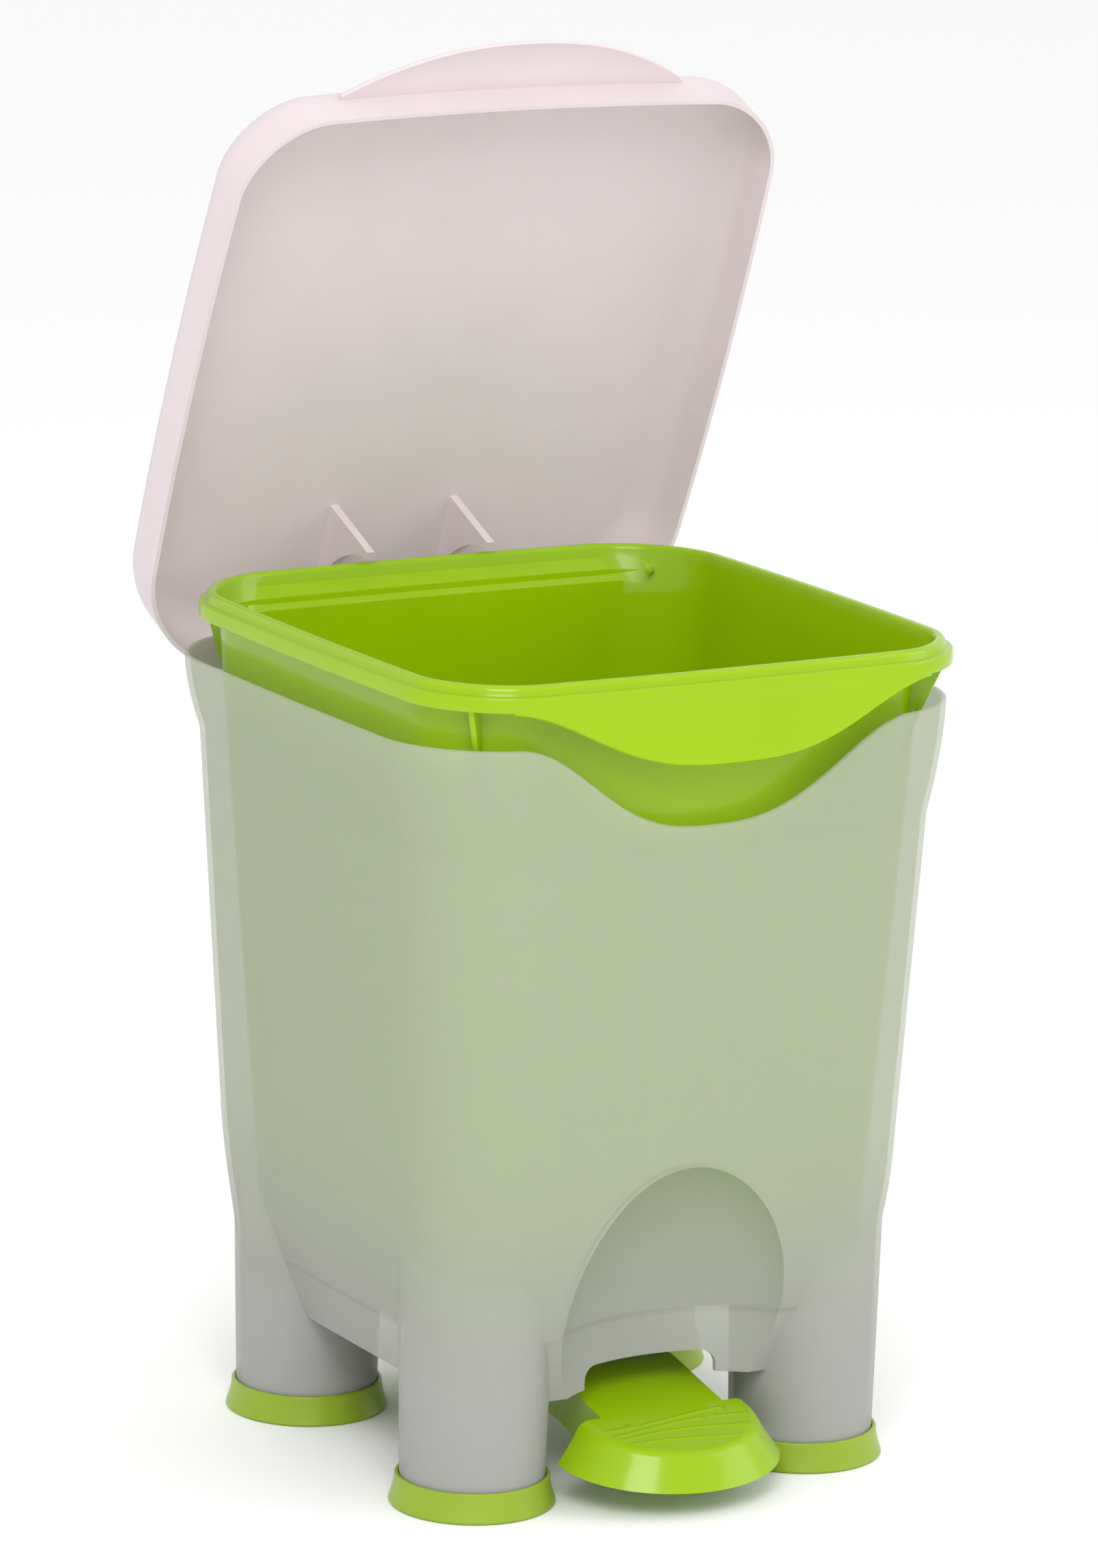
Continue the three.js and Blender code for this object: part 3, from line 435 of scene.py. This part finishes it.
combine(tub, ring_mesh("lip", curtain()), "UNION")
core = ring_mesh("core", np.stack([tub_ring(z, 0.8) for z in heights]))
for sx in (-1, 1):
    for sy, radius, y, (top, low) in ((-1, 36, -73.6, (3, 14.5)), (1, 41, 66.4, (1.2, 8.6))):
        reach, angle = radius - 1.5, math.atan2(sy, sx)
        rz = np.array([[reach - 16, 280.3], [reach - 16, 244], [reach - low, 254], [reach - top, 279.3],
                       [reach - top, 280.3]])
        sides = [np.c_[sx * (103.4 - radius) + rz[:, 0] * math.cos(angle) - s * math.sin(angle),
                       y + rz[:, 0] * math.sin(angle) + s * math.cos(angle), rz[:, 1]] for s in (0.9, -0.9)]
        web = ring_mesh("web", np.stack(sides))
        spare = core.copy()
        bpy.context.scene.collection.objects.link(spare)
        combine(tub, combine(web, spare, "DIFFERENCE"), "UNION")
dent = combine(dome(WALL + 1.2 + 1.6), core, "INTERSECT")
combine(tub, dent, "UNION")
combine(tub, dome(WALL + 1.2), "DIFFERENCE")
finish_piece(tub, "body", ["inner_bucket"], green_pp, 28)


# %% [markdown]
# ## Lid
# The lid is drawn shut, as it is moulded: a skirt, a 12 mm round edge and a top that rises 2 mm to its
# middle. It is then turned open about its hinge by the angle between the two positions.

# %% Lid shell
LID = outline(105.7, -113.6, 111.2, 32, 44, 3.5)
LID_TOP, SKIRT_Z, OPEN = 293.0, 268.0, math.radians(66.7)


def lid_skin(inset, lower, start):
    """Skirt from z start, then a quarter circle of radius 12 - inset, then rings shrinking to the
    middle while the height rises by 2 (1 - s^2), with s the share of the flat's size left."""
    r, top = 12 - inset, LID_TOP - lower
    skirt = [ring_at(LID, z, inset) for z in np.linspace(start, top - r, 8)[:-1]]
    turn = np.linspace(0, np.pi / 2, 13)
    edge = [ring_at(LID, top - r + r * math.sin(a), inset + r * (1 - math.cos(a))) for a in turn]
    flat, mid = edge[-1], np.array([0, -1.2, 0])
    shrink = [(flat - mid) * [s, s, 1] + mid + [0, 0, 2 * (1 - s * s)] for s in np.linspace(0.96, 0.03, 26)]
    return np.stack(skirt + edge + shrink)


shell = ring_mesh("lid_moulding", lid_skin(0, 0, SKIRT_Z))
combine(shell, ring_mesh("hollow", lid_skin(1.5, 1.5, SKIRT_Z - 2)), "DIFFERENCE")


# %% Tongue
def tongue(half=66, length=18.5, thick=2, droop=4):
    """For each x the tab reaches out by length * (1 - |x / half|^2.3) and sinks by the square of that
    share; the underside lies a thickness lower and the tip is round."""
    x = np.linspace(-0.995, 0.995, 101) * half
    reach = length * (1 - abs(x / half) ** 2.3) + 1
    root = -113.6 + 3.5 * (x / 105.7) ** 2 + 1.5
    t = np.linspace(0, 1, 16)[None]
    y = root[:, None] - (reach[:, None] + 1.5) * t
    z = LID_TOP - 11 - droop * t ** 2 * (reach / length)[:, None]
    over = np.stack([x[:, None] + 0 * y, y, z], -1)
    tip = over[:, -1:] + [0, -0.5, -thick / 2]
    return np.concatenate([over, tip, (over - [0, 0, thick])[:, ::-1]], 1)


inner = ring_mesh("inner", lid_skin(1.4, 1.4, SKIRT_Z - 2))
combine(shell, combine(ring_mesh("tab", tongue()), inner, "DIFFERENCE"), "UNION")


# %% [markdown]
# Two thin arms hook over the bucket's flange and go down behind it, through slots in the body's rim, to
# the hinge pin. The hook keeps 40.5 mm from the pin, so it clears the flange all the way round its
# swing. Each arm has a short crank under which the lift wire pushes.

# %% Arms and cranks
def plate(yz, x0, x1):
    """A flat plate: an outline in Y and Z carried from x0 to x1."""
    yz = np.array(yz, float)
    ends = [np.c_[np.full(len(yz), x), yz] for x in (x0, x1)]
    return ring_mesh("plate", np.stack(ends), flat_ends=True)


def arc(cy, cz, radius, a0, a1, n=16):
    """Points on a circle in Y and Z, from a0 to a1 degrees."""
    a = np.radians(np.linspace(a0, a1, n))
    return np.c_[cy + radius * np.cos(a), cz + radius * np.sin(a)].tolist()


hy, hz = HINGE
crank_angle = math.pi + OPEN / 2
tip = (hy + 6 * math.cos(crank_angle), hz + 6 * math.sin(crank_angle))
away = np.array([math.cos(crank_angle + math.pi / 2), math.sin(crank_angle + math.pi / 2)]) * 2.2
for side in (-1, 1):
    x0, x1 = side * 23.7 - 1.5, side * 23.7 + 1.5
    profile = [(114.4, LID_TOP), (108.4, LID_TOP), (108.4, 274), (hy + 1, hz + 15.6), (hy - 3.6, hz + 2),
               *arc(hy, hz, 3.6, 180, 330), (111.4, hz + 8), (114.4, 270)]
    hook = [(hy - 40.7, LID_TOP + 2), (hy - 40.7, hz + 13), *arc(hy, hz, 40.46, 161.3, 90, 40),
            (110.4, hz + 40.46), (110.4, LID_TOP + 2)]
    arm = combine(plate(profile, x0, x1), plate(hook, x0, x1), "UNION")
    keep = combine(ring_mesh("keep", lid_skin(0.3, 0.3, SKIRT_Z + 0.1)),
                   box(-200, 200, -200, 200, 200, SKIRT_Z + 0.2), "UNION")
    combine(shell, combine(arm, keep, "INTERSECT"), "UNION")
    neck = plate([np.array(tip) - away, np.array(HINGE) - away, np.array(HINGE) + away, np.array(tip) + away],
                 x0, x1)
    combine(shell, combine(neck, bar(2.2, (x0, *tip), (x1, *tip)), "UNION"), "UNION")
combine(shell, bar(1.55, (-60, *HINGE), (60, *HINGE)), "DIFFERENCE")
pivot = Vector((0, hy + SHIFT[1], hz)) / 1000
shell.data.transform(Matrix.Translation(pivot) @ Matrix.Rotation(-OPEN, 4, "X") @ Matrix.Translation(-pivot))
finish_piece(shell, "lid", ["lid"], lid_pp, 28)

# %% [markdown]
# ## Feet
# Each leg wears a soft green shoe: a flared ring with a closed sole. It is one profile turned about
# the leg's axis.

# %% Shoes
def shoe_profile(steps=14):
    """Radius and height: out along the sole, up a flare 1 - (1 - t)^1.6 to the neck, over and inside."""
    t = np.linspace(0, 1, steps)
    r = 28.1 + (26.1 - 28.1) * (1 - (1 - t) ** 1.6)
    flare = np.c_[r, 0.9 + 8.8 * t]
    lip = [(25.9, 10.0), (25.5, 10.2), (25.0, 10.2), (24.8, 9.9), (24.7, 9.4), (24.7, 1.9), (20, 1.8)]
    return np.vstack([[(24, 0), (27.3, 0), (27.8, 0.25)], flare, lip])


turn = np.linspace(0, 2 * np.pi, 128, endpoint=False)
rz = shoe_profile()[:, None]
for name in FEET:
    low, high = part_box(name)
    x, y = (low.x + high.x) * 500, (low.y + high.y) * 500 - SHIFT[1]
    rings = np.stack([x + rz[..., 0] * np.cos(turn), y + rz[..., 0] * np.sin(turn), rz[..., 1] + 0 * turn], -1)
    shoe = ring_mesh(name.replace("foot_", "") + "_moulding", rings)
    finish_piece(shoe, "body", [name], shoe_pp, 40)

# %% [markdown]
# ## Pedal
# A D-shaped tread on a channel-shaped arm. The tread's top is a shallow dome with faint raised veins,
# like a leaf; its skirt flares towards the bottom.

# %% Tread
ARM_SLOPE, REAR_SLOPE = math.tan(math.radians(11.5)), math.tan(math.radians(3.4))


def arm_z(y):
    """Top of the arm: steep from the tread to y -42, then nearly level to the tail."""
    bend = 27 + 35.5 * ARM_SLOPE
    return np.where(y > -42, bend + (y + 42) * REAR_SLOPE, 27 + (y + 77.5) * ARM_SLOPE)


def veins(x, y):
    """Height of three faint ridges: each is exp(-(distance / 0.5 mm)^2) from a line bowed along x."""
    lines = [-82 - 5 * k + 2.5 * np.sin(x / 16 + 0.9 * k) for k in range(4)]
    share = np.clip((30 - abs(x)) / 6, 0, 1)
    return 0.3 * share * sum(np.exp(-((y - line) / 0.55) ** 2) for line in lines)


def tread(inset, drop, fine):
    """Half-ellipse rings, 31.6 by 27 mm at the top, wider by 8.4 f^1.2 at share f down the 13.5 mm
    skirt; the top edge is rounded over 3 mm, and the top closes in rings that shrink to its middle."""
    turn = np.pi + np.pi * np.linspace(0, 1, 96)
    rings = []
    for f in np.linspace(1, 0, 20 if fine else 8):
        edge = 2.6 * (1 - math.sqrt(1 - (1 - min(1, f / 0.2)) ** 2))
        grow = 8.4 * f ** 1.2 - inset - edge
        a, b, low = 31.6 + grow, 27 + 0.72 * grow, drop + (13.5 - drop) * f
        x = np.r_[a * np.cos(turn), np.linspace(a, -a, 40)[1:-1]]
        y = np.r_[-79 + b * np.sin(turn), np.full(38, -75.5 - inset)]
        y[0] = y[95] = -75.5 - inset
        rings.append(np.c_[x, y, 27 + (y + 77.5) * ARM_SLOPE * (1 - 0.4 * f) - low])
    if fine:
        last, mid = rings[-1], rings[-1].mean(0)
        for s in np.linspace(0.97, 0.02, 60):
            ring = (last - mid) * s + mid
            ring[:, 2] = 27 + (ring[:, 1] + 77.5) * ARM_SLOPE - drop + veins(ring[:, 0], ring[:, 1])
            rings.append(ring)
    return np.stack(rings)


pedal = ring_mesh("pedal_moulding", tread(0, 0, True))
under = tread(2.2, 2.2, False)
under[0, :, 2] -= 4
cavity = ring_mesh("cavity", under)
spare = cavity.copy()
bpy.context.scene.collection.objects.link(spare)
combine(pedal, cavity, "DIFFERENCE")

# %% Arm
tail = 95.6 - (248.7 - float(arm_z(85))) * math.tan(math.radians(3.4)) + 5
ys = np.array([-89.5, -75.5, -60, -48, -44, -42, -40, -36, -10, 27, 55, tail])
depth = np.where(ys < -75, 9, 15 - 3 * np.clip((ys - 30) / 60, 0, 1))
top, bottom = np.c_[ys, arm_z(ys)], np.c_[ys, arm_z(ys) - depth]
beam = plate(np.vstack([top, bottom[::-1]]), -23.5, 23.5)
inner_ys = np.r_[ys[:-1], tail - 2]
gap = plate(np.vstack([np.c_[inner_ys, arm_z(inner_ys) - 2], np.c_[inner_ys, arm_z(inner_ys) - 40][::-1]]),
            -21.5, 21.5)
combine(beam, gap, "DIFFERENCE")
combine(pedal, combine(beam, spare, "DIFFERENCE"), "UNION")
for side in (-1, 1):
    combine(pedal, bar(5, (side * 19.5, 27, 33), (side * 23.5, 27, 33)), "UNION")
combine(pedal, bar(2.05, (-60, 27, 33), (60, 27, 33)), "DIFFERENCE")
finish_piece(pedal, "pedal", ["pedal"], green_pp, 32)

# %% [markdown]
# ## Steel
# The lift wire, the two pins and the push-on caps are galvanised steel and stay as the frame has them,
# apart from the wire, which is a smooth hoop carried along its own path.

# %% Lift wire
def hoop(span=29.5, radius=1.5, bend=5, n=24):
    """A rounded rectangle in a plane that leans back 3.4 degrees, with a circle carried round it."""
    top, lean = 248.7, math.tan(math.radians(3.4))
    low = float(arm_z(83.4)) + 1.9
    path = []
    for k, (sx, sz) in enumerate(((1, 1), (-1, 1), (-1, -1), (1, -1))):
        a = np.radians(np.linspace(90 * k, 90 * k + 90, 10))
        cx, cz = sx * (span - bend), (top - bend if sz > 0 else low + bend)
        path.append(np.c_[cx + bend * np.cos(a), cz + bend * np.sin(a)])
    xz = np.vstack(path)
    line = np.c_[xz[:, 0], 95.6 - (top - xz[:, 1]) * lean, xz[:, 1]]
    along = np.roll(line, -1, 0) - np.roll(line, 1, 0)
    along /= np.linalg.norm(along, axis=1, keepdims=True)
    flat = np.array([0, math.cos(math.radians(3.4)), -math.sin(math.radians(3.4))])
    across = np.cross(along, flat)
    t = np.linspace(0, 2 * np.pi, n, endpoint=False)[:, None]
    return line[:, None] + radius * (np.cos(t) * across[:, None] + np.sin(t) * flat)


finish_piece(ring_mesh("lift_wire_hoop", hoop(), closed=True), "lift_wire", ["lift_wire"],
             steel, 60)
for name in ("pedal_pivot_pin", "lid_hinge_pin", "pedal_pin_cap_left", "pedal_pin_cap_right"):
    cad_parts[name].material_slots[0].material = steel

# %% [markdown]
# ## Studio
# A pale floor, a bright even surround and two large soft lamps: one high on the left in front, which
# draws the long highlights on the bucket's rim, and a weaker one on the right.

# %% Floor and lamps
scene = bpy.context.scene
stage_floor = ring_mesh("studio_floor", np.stack([np.c_[np.array([[1, 1], [-1, 1], [-1, -1], [1, -1]]) * 6000,
                                                       np.full(4, z)] for z in (-20.0, -0.02)]))
paper = bpy.data.materials.new("studio_paper")
paper.use_nodes = True
paper.node_tree.nodes["Principled BSDF"].inputs["Base Color"].default_value = srgb("#FFFFFF")
paper.node_tree.nodes["Principled BSDF"].inputs["Roughness"].default_value = 0.9
stage_floor.data.materials.append(paper)
scene.world = bpy.data.worlds.new("surround")
scene.world.use_nodes = True
scene.world.node_tree.nodes["Background"].inputs["Color"].default_value = (1, 1, 1, 1)
scene.world.node_tree.nodes["Background"].inputs["Strength"].default_value = 0.93
middle = Vector((0, 0, 0.2))
for name, place, size, power in (("key", (-0.9, -1.5, 1.6), 1.0, 20), ("fill", (1.6, -0.9, 1.1), 1.2, 8)):
    lamp = bpy.data.objects.new(name, bpy.data.lights.new(name, "AREA"))
    lamp.data.energy, lamp.data.size = power, size
    lamp.location = place
    lamp.rotation_euler = (middle - Vector(place)).to_track_quat("-Z", "Y").to_euler()
    scene.collection.objects.link(lamp)
scene.view_settings.view_transform = "Standard"

# %% [markdown]
# ## Camera
# A long lens 2.5 m away, turned 29.5 degrees to the bin's left front and 12.6 degrees up, with a
# roll of about a degree.

# %% Camera
azimuth, elevation, roll, away_m = np.radians([-29.52, 12.58, 1.19]).tolist() + [2.48179]
back = Vector((math.sin(azimuth) * math.cos(elevation), -math.cos(azimuth) * math.cos(elevation),
               math.sin(elevation)))
right = Vector((math.cos(azimuth), math.sin(azimuth), 0))
up = back.cross(right)
right, up = right * math.cos(roll) + up * math.sin(roll), up * math.cos(roll) - right * math.sin(roll)
target = Vector((-0.03568, -0.05245 + SHIFT[1] / 1000, 0.24151))
camera = bpy.data.objects.new("camera", bpy.data.cameras.new("camera"))
camera.data.sensor_width, camera.data.lens = 36.0, 36.0 * 10994.17 / 2296
camera.data.clip_end = 60
turned = Matrix((right, up, back)).transposed().to_4x4()
camera.matrix_world = Matrix.Translation(target + back * away_m) @ turned
scene.collection.objects.link(camera)
scene.camera = camera
